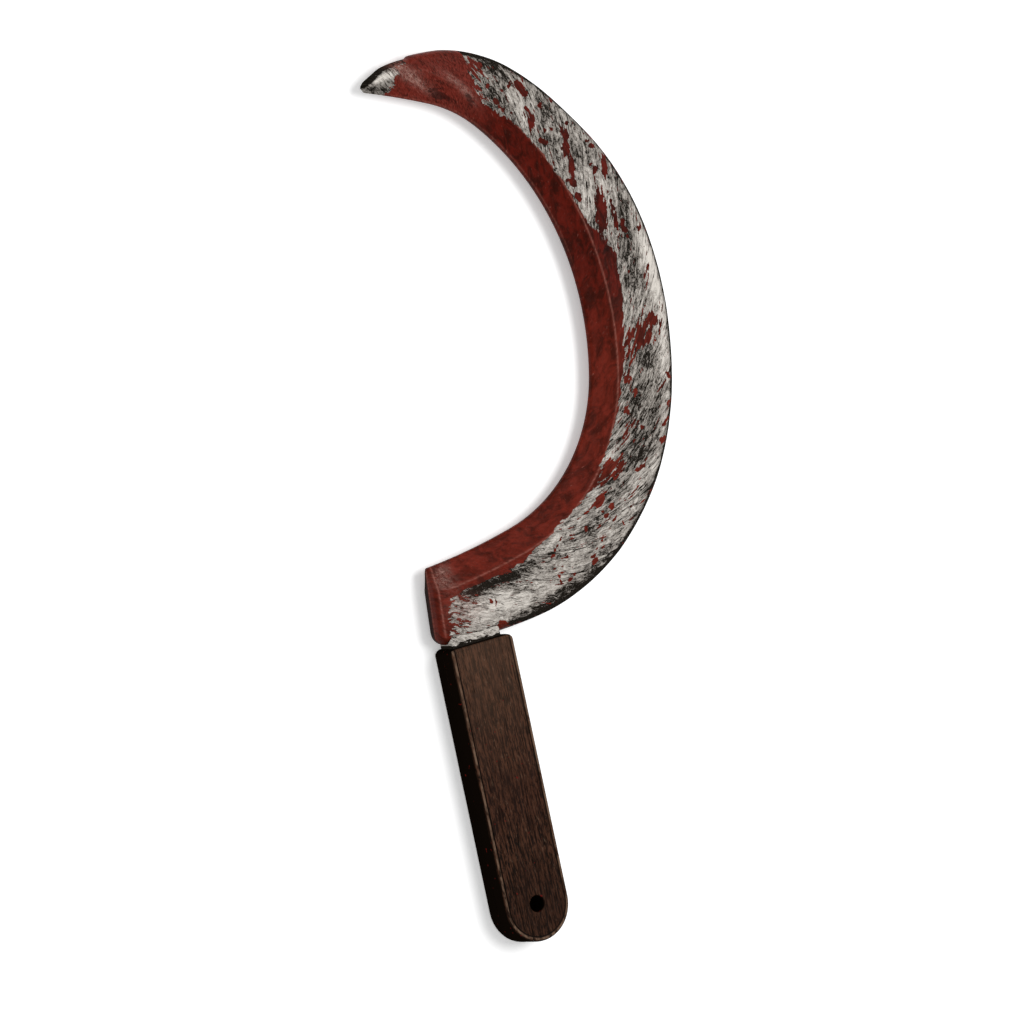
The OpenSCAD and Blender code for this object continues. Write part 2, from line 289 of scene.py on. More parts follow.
def wear_and_highlight_mask(s_rows, n, z, w, bevel, ridge_fade):
    """Lightened lines: painted highlight with some wear on the ridge, painted highlight on the heel's
    front edge and the seam, wear on the inner edge.
    """
    ridge = np.exp(-((n - column(bevel) - 0.2) / 0.5) ** 2) * ridge_fade
    ridge = ridge * column(1 - 0.65 * smoothstep(285, 315, s_rows))
    heel_edge = column(np.exp(-((s_rows - 2.3) / 0.5) ** 2)) * (n < column(w - 3))
    heel_seam = np.exp(-(z / 0.45) ** 2) * column(s_rows < 0.1)
    inner_edge_line = np.exp(-((n - 0.5) / 0.4) ** 2)
    inner_edge_line = inner_edge_line * column(0.6 * smoothstep(190, 240, s_rows))
    return np.maximum(np.maximum(ridge, inner_edge_line), np.maximum(heel_edge, heel_seam))


def section(s_rows, w, h, r, bevel, ridge_fade):
    """Places across the blade and heights from the inner edge's lip round to the spine's."""
    face = column(w - r) * np.linspace(0, 1, FACE_COLUMNS)[None]
    z_face = face_height(s_rows, face, h, bevel, ridge_fade)
    turn = np.radians(np.linspace(0, 90, SPINE_COLUMNS + 1)[1:][None])
    n_arc = column(w - r) + column(r) * np.sin(turn)
    z_arc = z_face[:, -1:] - column(r) * (1 - np.cos(turn))
    spine_n = column(w) + np.array([[0, 0, SEAM_OUT, SEAM_OUT, -LIP_IN]])
    spine_z = z_arc[:, -1:] * np.array([[0.66, 0, 0, 0, 0]]) + np.array([[0, 0.34, SEAM_H, 0, 0]])
    edge_n = np.array([[LIP_IN, -SEAM_OUT, -SEAM_OUT, 0, 0]]) + column(0 * w)
    edge_z = np.array([[0, 0, SEAM_H, 0.34, 0.8]]) + column(0 * w)
    return (np.concatenate([edge_n, face, n_arc, spine_n], axis=1),
            np.concatenate([edge_z, z_face, z_arc, spine_z], axis=1))


def blade_grid():
    """Grid of a half blade: x, y, z above the parting plane, s along, n across, mask of wear and
    painted highlight.
    """
    s_rows, cap = blade_rows()
    u = s_rows / EDGE_L
    waver = 0.4 * (noise(s_rows / 17, s_rows * 0, SHAPE_SEED) - 0.5)
    w = width_at(u) - WIDTH_INSET + waver
    h = half_t_at(u)
    r = np.minimum(np.minimum(SPINE_R, w * 0.35), h - 0.8)
    bevel = bevel_at(u, w, r)
    ridge_fade = column(smoothstep(4, 14, s_rows) * (1 - smoothstep(0.92, 0.95, u)))
    n, z = section(s_rows, w, h, r, bevel, ridge_fade)
    from_heel, from_tip = s_rows, s_rows[-1] - s_rows
    tip = corner(from_tip, TIP_W / 2 - 0.01)
    inner = corner(from_heel, EDGE_CORNER_R) + tip
    outer = corner(from_heel, HEEL_CORNER_R) + tip
    low = corner(from_heel, HEEL_ROUND_R) + corner(from_tip, TIP_ROUND_R)
    n_out = column(inner) + n * column((w - inner - outer) / w) + EDGE_INSET
    z = z * column((h - low) / h) * column(cap)
    x, y, heading = inner_edge(np.clip(s_rows, 0.08, EDGE_L - 0.08))
    slant = math.radians(HEEL_SLANT) * np.clip(1 - s_rows / HEEL_SLANT_L, 0, 1) ** 2
    x = column(x) + n_out * column(np.sin(heading - slant))
    y = column(y) + n_out * column(-np.cos(heading - slant))
    s = column(s_rows) + 0 * n
    return x, y, z, s, n, wear_and_highlight_mask(s_rows, n, z, w, bevel, ridge_fade)


# ---------------------------------------------------------------- paint on the blade

# All places are in millimetres: along the inner edge from the heel, and across from it.
# Outer limit of the red band: along, across
RED_LIMIT = [(0, 60), (4.4, 60), (6, 30), (9, 18.5), (20, 16.5), (45, 18), (55, 17), (62, 14),
             (80, 12.8), (95, 13.5), (105, 16), (112, 13.2), (135, 14), (150, 15.5), (162, 18),
             (175, 18.5), (189, 20.5), (200, 22.5), (210, 23.5), (220, 20), (228, 15), (240, 14),
             (262, 13.2), (300, 13.2), (313, 14.5), (320, 19), (327, 28), (335, 41), (378, 41)]
# Ragged red patches: along, across, half length, half width, turn in degrees, strength
RED_CLOUDS = [(229, 25, 13.5, 3.6, 24, 1), (172, 31, 7, 6, 40, 0.8), (177, 38, 2.5, 4.5, 30, 0.8),
              (112, 20, 10, 4.2, 25, 0.85), (132, 23, 6, 4, 40, 0.5), (18, 23, 6, 2.4, 25, 0.5),
              (12, 33, 5.5, 2.3, 28, 0.85), (4, 36, 5, 6, 0, 0.55), (31.5, 42.5, 3.2, 2.6, 10, 1),
              (284, 20, 5.5, 2.2, 60, 0.8), (152, 19, 3, 3, 50, 0.9), (139, 19.5, 1.6, 3.6, 20, 0.8),
              (165, 21, 9, 4, 15, 0.6), (262, 25, 4.5, 2.6, 45, 0.85), (269, 31, 4, 2.2, 30, 0.8),
              (320, 24, 8, 3.5, 60, 0.6), (245, 38.5, 6, 1.7, 38, 1), (224, 31, 5, 1.5, 18, 0.9),
              (255, 23, 5, 1.6, 38, 0.9), (147, 24, 2, 2.8, 20, 0.9), (100, 21.5, 6, 1.2, 12, 0.8)]
# Single drops, without a strength
RED_DROPS = [(28.7, 28.1, 0.9, 1.1, 0), (30.8, 29.8, 0.5, 2.0, 8), (67.3, 23.4, 1.2, 0.8, 30),
             (69.5, 21.8, 1.0, 0.7, -40), (71.2, 20.7, 1.0, 0.6, -40), (74.5, 19, 1.4, 0.6, -35),
             (65.2, 29.5, 0.9, 0.9, 0), (68.5, 30.9, 0.5, 0.5, 0), (71.9, 28.5, 1.1, 0.6, 20),
             (65.6, 34, 0.9, 0.8, 0), (65.3, 36.8, 0.5, 1.5, 0), (68.8, 39.1, 1.1, 0.9, 20),
             (71.3, 38.4, 0.7, 0.9, 0), (80.9, 41, 1.4, 1.4, 0), (81.6, 38.5, 1.3, 0.7, 10),
             (84.4, 37.4, 0.6, 0.6, 0), (88.4, 36.3, 0.6, 0.6, 0), (86.3, 25.3, 1.0, 1.3, 30),
             (98.7, 22.6, 3.2, 1.7, 18), (96.4, 30.2, 1.6, 1.2, 20), (100.7, 29.8, 1.2, 1.5, 0),
             (96.9, 27, 0.7, 1.0, 0), (97.9, 34.9, 1.5, 0.6, 0), (98.7, 41, 0.4, 1.6, 0),
             (119.3, 35.9, 2.9, 1.1, 52), (132, 44.6, 1.2, 2.0, -30), (138, 44.2, 2.6, 0.9, 45),
             (144.5, 44.6, 1.2, 0.7, 40), (154, 44, 0.8, 2.2, 35), (128, 28, 0.8, 0.8, 0),
             (134, 30.5, 0.8, 1.2, 0), (150, 40, 3.6, 0.5, 50), (215.4, 42.7, 1.7, 0.9, 50),
             (217.5, 34, 1.5, 2.0, 20), (220.6, 34.2, 1.9, 1.4, 0), (214, 34.2, 0.9, 0.7, 0),
             (228.5, 32.5, 1.6, 1.0, 10), (231.2, 33, 1.0, 0.8, 0), (235, 33.5, 0.8, 0.6, 0),
             (246.4, 33, 1.1, 2.4, -20), (249.5, 32.6, 0.6, 0.9, 0), (255.5, 38.8, 1.1, 1.8, 20),
             (258.5, 38.5, 0.8, 1.6, 10), (241.4, 17.2, 2.4, 1.7, 0), (248.4, 18.6, 2.6, 1.9, 0),
             (251, 16.6, 0.9, 1.6, 0), (273.6, 18, 3.0, 1.5, -30), (276.4, 22.8, 1.2, 1.0, 0),
             (274.3, 26.2, 1.0, 0.9, 0), (289.7, 23.7, 1.6, 1.2, 0), (285.7, 30.2, 1.1, 1.6, 0),
             (297.8, 29.8, 4.4, 2.2, 14), (303.5, 27, 0.7, 2.2, -10), (312, 19.5, 1.0, 1.5, 20),
             (318.4, 27.4, 1.2, 1.2, 0), (270.6, 35, 1.0, 1.1, 0), (283, 36.8, 0.8, 1.0, 0),
             (262, 15.4, 1.2, 0.6, 0), (295, 16, 0.8, 0.8, 0), (305, 22, 0.7, 0.7, 0)]
# Places where the silver is thin (strength below 0) or thick (above 0), and painted light:
# the bands by the spine at 168 and 201 along are painted highlight, the pair by the tip at 370 and 368
# painted highlight and shade
SILVER_AND_PAINTED_LIGHT_PATCHES = [(37, 20, 18, 3.4, 4, -1.2), (43, 27, 8, 3, 40, -0.7),
                  (22, 19.5, 9, 2.6, 12, -0.7),
                  (87, 27, 4, 3, 0, -0.45), (106, 28, 7, 3, 30, -0.4), (126, 33, 9, 6, 30, -0.9),
                  (142, 25, 9, 5, 10, -0.6), (160, 31, 5, 5, 0, -0.7), (144, 38, 6, 3.5, 30, -0.55),
                  (17, 41, 10, 1.7, 10, -1.1), (57, 43.5, 26, 3.4, 3, -1.0), (196, 28, 8, 6, 20, -0.4),
                  (209, 30, 5, 4, 0, -0.45), (221, 37, 11, 4, 25, -0.6), (226, 16, 6, 3, 20, -0.6),
                  (257, 30, 6, 5, 30, -0.5), (272, 19, 5, 4, 30, -0.5), (282, 30, 6, 4.5, 40, -0.9),
                  (306, 18, 9, 4, 10, -0.6), (314, 29.5, 12, 3.6, 12, -0.9), (246, 22, 3, 5, 0, -0.2),
                  (34, 32, 23, 8, 5, 1.0), (72, 16.5, 9, 3.5, 0, 0.6), (93, 18, 9, 3, 0, 0.5),
                  (75, 31, 8, 6, 0, 0.35), (115, 38, 16, 5.5, 25, 0.45), (116, 15.5, 6, 3.4, 45, 0.6),
                  (168, 43, 24, 3.6, 0, 1.0), (201, 43, 17, 4, 0, 1.5), (192, 22, 6, 3, 0, 0.5),
                  (236, 20, 8, 5, 20, 0.7), (238, 33, 8, 4.5, 20, 0.6), (248, 27, 8, 6, 30, 0.5),
                  (284, 27, 5, 6, 0, 0.4), (293, 22, 8, 4, 20, 0.7), (300, 24, 8, 3, 15, 0.4),
                  (95, 38, 14, 4, 10, 0.35), (370, 8.5, 7, 2.2, -20, 1.3),
                  (368, 2.5, 6, 1.8, 0, -0.9), (185, 30, 6, 5, 0, 0.3)]
# Dirty smears over the red
DARK_SMEARS = [(333, 5.5, 8, 3.2, 8, 0.9), (318, 9, 6, 2.2, 30, 0.7), (214, 20, 6, 2.0, 10, 0.6)]
# Places where the red is worn pale; the first patch, on the heel, is a painted glossy reflection
WEAR_AND_SHEEN = [(7, 6, 4.5, 5.5, 60, 0.9), (355, 13, 11, 3.2, 20, 1.2), (10, 12, 5, 4, 0, 0.4),
              (345, 8, 9, 1.8, 15, 0.8), (324, 13, 11, 2.0, 20, 0.9), (15, 26, 9, 7, 20, 0.5)]


def blobs(s, n, patches, power=2.0):
    """Sum of soft ellipses; a higher power gives them a firmer edge."""
    total = np.zeros_like(s)
    for along, across, half_l, half_w, turn, strength in patches:
        a, b = turned(s - along, n - across, turn)
        total += strength * np.exp(-((a / half_l) ** 2 + (b / half_w) ** 2) ** (power / 2))
    return total


def drops(s, n, places):
    """Hard-edged ellipses, from 1 inside to 0 outside."""
    total = np.zeros_like(s)
    for along, across, half_l, half_w, turn in places:
        a, b = turned(s - along, n - across, turn)
        d = np.sqrt((a / half_l) ** 2 + (b / half_w) ** 2)
        total = np.maximum(total, smoothstep(1.18, 0.86, d))
    return total


def back_drops(seed):
    """Drops at chance places on the back."""
    rng = np.random.default_rng(seed)
    return np.column_stack([rng.uniform(30, 330, BACK_DROPS), rng.uniform(14, 44, BACK_DROPS),
                            rng.uniform(0.5, 2.2, BACK_DROPS), rng.uniform(0.5, 1.5, BACK_DROPS),
                            rng.uniform(0, 90, BACK_DROPS)])


def red_band(s, n, s_seen, fray, brush, seed):
    """The red along the inner edge, which covers the whole width towards the tip."""
    places, limits = (np.array(c, float) for c in zip(*RED_LIMIT))
    streak = 9 * (fractal(s / 11, n / 1.0, seed + 71, 4, 0.6) - 0.5) * smoothstep(30, 8, s)
    limit = np.interp(s_seen + streak, places, limits)
    near_tip = 17 * (fractal(s / 5, n / 4, seed + 81, 5, 0.65) - 0.5) * smoothstep(288, 306, s)
    brushed = brush * (0.6 + 1.6 * smoothstep(295, 315, s))
    return smoothstep(-0.9, 0.9, limit + near_tip + fray * 0.7 + brushed - n)


def spine_line(s, n, from_spine, seed):
    """The thin red line that runs along a stretch of the spine."""
    stretch = smoothstep(226, 232, s) * (1 - smoothstep(262, 268, s))
    off = np.abs(from_spine - 1.2) + 2 + 2 * (noise(s / 4, n, seed) - 0.2)
    return stretch * smoothstep(3.6, 2.6, off)


def paint(s, n, front):
    """Paint masks for each point: red, silver cover (thinned along the spine's edge as painted shade),
    and pale wear mixed with painted sheen.
    """
    seed = FRONT_PAINT_SEED if front else BACK_PAINT_SEED
    s_seen = s if front else s + 9 * (noise(s / 60, n / 60, 91) - 0.5)
    from_spine = width_at(np.clip(s / EDGE_L, 0, 1)) - n
    fray = 5.0 * (fractal(s / 7, n / 3, seed + 31, 4, 0.6) - 0.5)
    sx, nx = turned(s, n, 28)
    brush = 4.0 * (fractal(sx / 16, nx / 0.9, seed + 41, 3, 0.6) - 0.5)
    red = red_band(s, n, s_seen, fray, brush, seed)
    cloud = blobs(s_seen + fray * 0.35, n + fray * 0.3, RED_CLOUDS, 3.0)
    cloud_cut = 0.46 + 2.1 * (fractal(sx / 5, nx / 1.1, seed + 51, 4, 0.65) - 0.5)
    red = np.maximum(red, smoothstep(-0.12, 0.12, cloud - cloud_cut))
    if front:
        jitter_s = 1.5 * (fractal(s / 1.3, n / 1.3, seed + 61, 3) - 0.5)
        jitter_n = 1.5 * (fractal(s / 1.3, n / 1.3, seed + 62, 3) - 0.5)
        red = np.maximum(red, drops(s + jitter_s, n + jitter_n, RED_DROPS))
    else:
        red = np.maximum(red, drops(s, n, back_drops(seed)))
    red = np.maximum(red, spine_line(s, n, from_spine, seed))
    speckle = 14 * (fractal(s / 3, n / 3, seed + 91, 4, 0.7) - 0.5)
    red = red * (1 - smoothstep(0, 2.0, s - 363.5 + 0.35 * n + speckle + brush))
    # Silver is taken off along the spine's rounded edge so the black shows: painted shade.
    rim_w = 4.4 - 1.5 * smoothstep(150, 250, s)
    rim = smoothstep(rim_w, rim_w * 0.5, from_spine + fray * 0.4)
    cover = 0.55 + 1.15 * blobs(s_seen, n, SILVER_AND_PAINTED_LIGHT_PATCHES) - 2.4 * rim
    return red, cover, blobs(s_seen, n, WEAR_AND_SHEEN)


# ---------------------------------------------------------------- meshes

def grid_quads(rows, cols):
    i = column(np.arange(rows - 1)) * cols + np.arange(cols - 1)[None]
    return np.stack([i, i + 1, i + cols + 1, i + cols], axis=-1).reshape(-1, 4)


def mesh_from_grid(name, x, y, z, flip, layers):
    """A quad mesh from point grids in millimetres, with float attributes on its points."""
    rows, cols = x.shape
    co = np.stack([x, y, z], axis=-1).reshape(-1, 3) * MM
    quads = grid_quads(rows, cols)
    if flip:
        quads = quads[:, ::-1]
    return mesh_from_arrays(name, co, quads, layers)


def link_mesh(name, mesh):
    obj = bpy.data.objects.new(name, mesh)
    bpy.context.scene.collection.objects.link(obj)
    return obj


def mesh_from_arrays(name, co, quads, layers):
    """A quad mesh from points in metres, with float attributes on its points."""
    mesh = bpy.data.meshes.new(name)
    mesh.vertices.add(len(co))
    mesh.vertices.foreach_set("co", co.astype(np.float32).ravel())
    mesh.loops.add(quads.size)
    mesh.loops.foreach_set("vertex_index", quads.astype(np.int32).ravel())
    mesh.polygons.add(len(quads))
    mesh.polygons.foreach_set("loop_start", np.arange(0, quads.size, 4, dtype=np.int32))
    mesh.polygons.foreach_set("use_smooth", np.ones(len(quads), bool))
    mesh.update(calc_edges=True)
    mesh.validate()
    for key, values in layers.items():
        layer = mesh.attributes.new(key, "FLOAT", "POINT")
        layer.data.foreach_set("value", values.astype(np.float32).ravel())
    return link_mesh(name, mesh)


def make_blade_half(name, front):
    x, y, z, s, n, wear_and_highlight = blade_grid()
    red, cover, wear_and_sheen = paint(s, n, front)
    # Painted shade on the back half's heel end, where it lies in shadow.
    back_heel_shadow = smoothstep(-0.6, 1.6, z) * (s < 3.2) * (0 if front else 0.95)
    smear = blobs(s, n, DARK_SMEARS) - 0.35 + 1.2 * (fractal(s / 3, n / 1.5, 23, 4, 0.65) - 0.5)
    # Dirty smears and the painted shade on the heel, in one mask.
    smear_and_shade = np.maximum(back_heel_shadow, 0.7 * smoothstep(0.0, 0.3, smear) * (n > 0))
    layers = {"along": s, "across": n, "red": red, "cover": cover, "wear_and_sheen": wear_and_sheen, "wear_and_highlight": wear_and_highlight,
              "smear_and_shade": smear_and_shade}
    side = 1 if front else -1
    return mesh_from_grid(name, x, y, PART_Z + side * z, not front, layers)


def make_neck(name, front):
    """The stretch of the plug that shows between the heel and the handle, as a rounded block."""
    half = PLUG_W / 2 - 0.05
    r = PLUG_EDGE_R
    turn = np.radians(np.linspace(0, 90, 9))
    right = [(half - r + r * math.cos(t), PLUG_H - r + r * math.sin(t)) for t in turn]
    path = [(half, 0)] + right + [(half * k, PLUG_H) for k in np.linspace(0.85, -0.85, 40)]
    path += [(-a, b) for a, b in right[::-1]] + [(-half, 0)]
    px, pz = (np.array(c) for c in zip(*path))
    rows = np.linspace(HANDLE_L - 2.5, HANDLE_L + HEEL_GAP + 5.5, 30)
    x = PLUG_X + px[None] + 0 * column(rows)
    y = column(rows) + 0 * px[None]
    z = (pz[None] + 0 * column(rows)) * (1 - 0.03 * fractal(x / 3, y / 2, 9, 2))
    ragged = 3.4 * (fractal(x / 2.6, y / 2, 3, 3, 0.6) - 0.5)
    # Painted contact shadow: the neck goes black where it meets the handle.
    neck_contact_shadow = smoothstep(HANDLE_L + 2.1, HANDLE_L + 1.3, y + ragged)
    none = 0 * x
    layers = {"along": x - HEEL_START[0], "across": HEEL_START[1] - y, "red": none,
              "cover": 1.3 - 4.0 * neck_contact_shadow, "wear_and_sheen": none, "wear_and_highlight": none, "smear_and_shade": none}
    side = 1 if front else -1
    return mesh_from_grid(name, x, y, PART_Z + side * z, not front, layers)


# ---------------------------------------------------------------- handle shape

def handle_face(seed):
    """Grid of the handle's face inside its rounded edge, from the butt to the open end."""
    half = HANDLE_W / 2 - HANDLE_EDGE_R - HANDLE_INSET
    top = HANDLE_L - HANDLE_EDGE_R - 0.05
    theta = np.radians(np.linspace(-90, 90, HANDLE_COLUMNS))
    y_low = -half * np.cos(theta)[None]
    x = half * np.sin(theta)[None] + np.zeros((HANDLE_ROWS, 1))
    y = y_low + (top - y_low) * column(np.linspace(0, 1, HANDLE_ROWS))
    x = x * (half - corner(top - y, HANDLE_CORNER_R)) / half
    return x, y, HANDLE_T / 2 - grain(x, y, seed)


def handle_rings(x, y, height, seed):
    """Rings of points down from the face's border: the rounded edge, then the grained side."""
    run_x, run_y = np.roll(x, -1) - np.roll(x, 1), np.roll(y, -1) - np.roll(y, 1)
    length = np.sqrt(run_x ** 2 + run_y ** 2)
    nx, ny = run_y / length, -run_x / length
    turn = [math.radians(90 * k / EDGE_RINGS) for k in range(1, EDGE_RINGS + 1)]
    rings = [(HANDLE_EDGE_R * math.sin(a), height - HANDLE_EDGE_R * (1 - math.cos(a)))
             for a in turn]
    low = height - HANDLE_EDGE_R
    rings += [(HANDLE_EDGE_R, low * (1 - k)) for k in np.linspace(0, 1, SIDE_RINGS + 1)[1:]]
    ring_x = np.array([x + nx * out for out, _ in rings])
    ring_y = np.array([y + ny * out for out, _ in rings])
    ring_z = np.array([z for _, z in rings])
    along = np.where(np.abs(nx) > 0.5, y, x)[None] + 0 * ring_x
    depth = 0.16 * (fractal(along / 14, ring_z / 0.7, seed + 7, 3, 0.6) - 0.2)
    depth = depth * (column(np.arange(len(rings))) > 3)
    return ring_x - nx * depth, ring_y - ny * depth, ring_z


def handle_grid(seed):
    """Half handle above the parting plane: its points, its quads and its lowest ring."""
    x, y, z = handle_face(seed)
    rows, cols = x.shape
    border = ([(0, j) for j in range(cols)] + [(i, cols - 1) for i in range(1, rows)]
              + [(rows - 1, j) for j in range(cols - 2, -1, -1)]
              + [(i, 0) for i in range(rows - 2, 0, -1)])
    bi, bj = (np.array(c) for c in zip(*border))
    ring_x, ring_y, ring_z = handle_rings(x[bi, bj], y[bi, bj], z[bi, bj], seed)
    points = np.concatenate([np.stack([x, y, z], -1).reshape(-1, 3),
                             np.stack([ring_x, ring_y, ring_z], -1).reshape(-1, 3)])
    rings = [bi * cols + bj]
    for k in range(len(ring_x)):
        rings.append(x.size + k * len(bi) + np.arange(len(bi)))
    quads = [grid_quads(rows, cols)]
    for a, b in zip(rings, rings[1:]):
        quads.append(np.stack([a, b, np.roll(b, -1), np.roll(a, -1)], -1))
    return points, np.concatenate(quads), rings[-1]


def grain(x, y, seed):
    """Depth of the pressed wood grain and the fine line along the rim, in millimetres."""
    warp = 2.2 * (fractal(x / 16, y / 60, seed, 2) - 0.5)
    long_lines = fractal((x + warp) / 0.75, y / 17, seed + 1, 3, 0.6)
    cuts = smoothstep(0.50, 0.30, long_lines)
    pores = smoothstep(0.33, 0.2, fractal((x + warp) / 0.42, y / 3.6, seed + 2, 2))
    broad = fractal((x + warp) / 5, y / 40, seed + 3, 2) - 0.5
    half = HANDLE_W / 2 - HANDLE_EDGE_R
    dist = np.where(y > 0, half - np.abs(x), half - np.sqrt(x * x + y * y))
    line = np.exp(-((dist - 0.75) / 0.3) ** 2)
    inside = smoothstep(0.7, 1.6, dist)
    return 0.02 + inside * (0.20 * cuts + 0.13 * pores + 0.12 * (broad + 0.5)) + 0.34 * line


def revolve(name, profile, centre):
    """A closed turned cutter: a profile of (radius, z) pairs about a vertical axis."""
    sides = 64
    angles = np.linspace(0, 2 * np.pi, sides, endpoint=False)
    verts, faces = [], []
    for radius, z in profile:
        verts += [((centre[0] + radius * math.cos(a)) * MM,
                   (centre[1] + radius * math.sin(a)) * MM, z * MM) for a in angles]
    for k in range(len(profile) - 1):
        for j in range(sides):
            m = (j + 1) % sides
            faces.append((k * sides + j, k * sides + m, (k + 1) * sides + m, (k + 1) * sides + j))
    faces.append(tuple(range(sides))[::-1])
    faces.append(tuple((len(profile) - 1) * sides + j for j in range(sides)))
    mesh = bpy.data.meshes.new(name)
    mesh.from_pydata(verts, [], faces)
    return link_mesh(name, mesh)


def cut(obj, cutters):
    """Takes the cutters out of the object and removes them."""
    for cutter in cutters:
        modifier = obj.modifiers.new("cut", "BOOLEAN")
        modifier.operation = "DIFFERENCE"
        modifier.solver = "EXACT"
        modifier.object = cutter
    graph = bpy.context.evaluated_depsgraph_get()
    mesh = bpy.data.meshes.new_from_object(obj.evaluated_get(graph))
    obj.modifiers.clear()
    obj.data = mesh
    for cutter in cutters:
        bpy.data.objects.remove(cutter)


def close_ring(obj, ring):
    """Closes the handle half on the parting plane with one face."""
    bm = bmesh.new()
    bm.from_mesh(obj.data)
    bm.verts.ensure_lookup_table()
    bm.faces.new([bm.verts[int(k)] for k in ring])
    bm.to_mesh(obj.data)
    bm.free()


def hole_cutter(front):
    """The hanging hole through one half, slightly flared at the face."""
    side = 1 if front else -1
    face = PART_Z + side * HANDLE_T / 2
    profile = [(HANG_R, PART_Z - side), (HANG_R, face - side * 0.9),
               (HANG_R + 0.12, face - side * 0.5), (HANG_R + HANG_FLARE, face - side * 0.05),
               (HANG_R + HANG_FLARE + 1, face + side)]
    return revolve("hole_cutter", profile if front else profile[::-1], (0, 0))


def well_cutters():
    """The wells in the back face, each round its screw."""
    face = PART_Z - HANDLE_T / 2
    profile = [(WELL_R + 1.2, face - 1), (WELL_R + 0.2, face + 0.2), (WELL_R, face + 0.6),
               (WELL_R, WELL_D)]
    cutters = []
    for k in range(1, SCREWS + 1):
        low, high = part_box(f"handle_screw_{k}")
        centre = (low + high) / 2 / MM
        cutters.append(revolve("well_cutter", profile, (centre[0], centre[1])))
    return cutters


def make_handle_half(name, front):
    points, quads, ring = handle_grid(FRONT_GRAIN_SEED if front else BACK_GRAIN_SEED)
    points = points * [1, 1, 1 if front else -1] + [0, 0, PART_Z]
    if not front:
        quads = quads[:, ::-1]
    obj = mesh_from_arrays(name, points * MM, quads, {})
    close_ring(obj, ring[::-1] if front else ring)
    cut(obj, [hole_cutter(front)] + ([] if front else well_cutters()))
    return obj


# ---------------------------------------------------------------- materials

class Nodes:
    """Short names for building a node tree."""

    def __init__(self, name):
        self.material = bpy.data.materials.new(name)
        self.material.use_nodes = True
        self.tree = self.material.node_tree
        self.shader = self.tree.nodes["Principled BSDF"]

    def put(self, kind, settings=None, **inputs):
        node = self.tree.nodes.new(kind)
        for key, value in (settings or {}).items():
            setattr(node, key, value)
        for key, value in inputs.items():
            self.feed(node.inputs[key.replace("_", " ")], value)
        return node

    def feed(self, socket, value):
        if isinstance(value, bpy.types.NodeSocket):
            self.tree.links.new(value, socket)
        else:
            socket.default_value = value

    def math(self, operation, a, b=0.0, clamp=False):
        node = self.put("ShaderNodeMath", {"operation": operation, "use_clamp": clamp})
        self.feed(node.inputs[0], a)
        self.feed(node.inputs[1], b)
        return node.outputs[0]

    def ramp(self, value, low, high, out_low=0.0, out_high=1.0):
        node = self.put("ShaderNodeMapRange", {"interpolation_type": "SMOOTHSTEP"}, Value=value)
        for key, number in (("From Min", low), ("From Max", high), ("To Min", out_low),
                            ("To Max", out_high)):
            node.inputs[key].default_value = number
        return node.outputs[0]

    def attribute(self, name):
        return self.put("ShaderNodeAttribute", {"attribute_name": name}).outputs["Fac"]

    def mix(self, factor, a, b):
        node = self.put("ShaderNodeMix", {"data_type": "RGBA"})
        self.feed(node.inputs[0], factor)
        self.feed(node.inputs[6], a)
        self.feed(node.inputs[7], b)
        return node.outputs[2]

    def vector(self, x, y, z=0.0):
        node = self.put("ShaderNodeCombineXYZ")
        for socket, value in zip(node.inputs, (x, y, z)):
            self.feed(socket, value)
        return node.outputs[0]

    def stretched(self, vector, degrees, scale):
        """The vector turned in its own plane and then scaled."""
        turn = self.put("ShaderNodeMapping", {"vector_type": "POINT"}, Vector=vector)
        turn.inputs["Rotation"].default_value = (0, 0, math.radians(-degrees))
        size = self.put("ShaderNodeMapping", {"vector_type": "POINT"}, Vector=turn.outputs[0])
        size.inputs["Scale"].default_value = scale
        return size.outputs[0]

    def noise(self, vector, detail=4.0, rough=0.55, warp=0.0):
        node = self.put("ShaderNodeTexNoise", None, Vector=vector, Scale=1.0, Detail=detail,
                        Roughness=rough, Distortion=warp)
        return node.outputs["Fac"]

    def bump(self, height, distance, strength=1.0, normal=None):
        node = self.put("ShaderNodeBump", None, Height=height, Distance=distance,
                        Strength=strength)
        if normal is not None:
            self.feed(node.inputs["Normal"], normal)
        return node.outputs[0]


def rgb(r, g, b):
    """A colour given as screen values from 0 to 255, as linear light."""
    linear = [((c / 255 + 0.055) / 1.055) ** 2.4 if c > 10 else c / 255 / 12.92 for c in (r, g, b)]
    return (*linear, 1.0)


def silver_level(m, place, cover, parts):
    """How thickly the silver lies: the cover mask, broken up by noises and fine scratches."""
    level = cover
    for value, share in parts:
        level = m.math("ADD", level, m.math("MULTIPLY", m.math("SUBTRACT", value, 0.5), share))
    scratch = m.noise(m.stretched(place, 34, (0.035, 0.5, 1)), 2, 0.5, 0.8)
    thin = m.math("ABSOLUTE", m.math("SUBTRACT", scratch, 0.5))
    return m.math("SUBTRACT", level, m.ramp(thin, 0.016, 0.004, 0, 1.6))


def metal_colour(m, level, silver, wear_and_sheen, hatch, speck):
    """Brushed silver over the black ground, with a faint red blush."""
    black = m.mix(m.ramp(speck, 0.4, 0.7), rgb(15, 13, 10), rgb(52, 47, 41))
    bright = m.mix(m.ramp(level, 0.0, 2.4), rgb(104, 97, 90), rgb(194, 188, 180))
    blush = m.math("MULTIPLY", wear_and_sheen, m.ramp(hatch, 0.4, 0.6))
    blush = m.math("MULTIPLY", blush, 0.8, True)
    return m.mix(blush, m.mix(silver, black, bright), rgb(142, 90, 82))


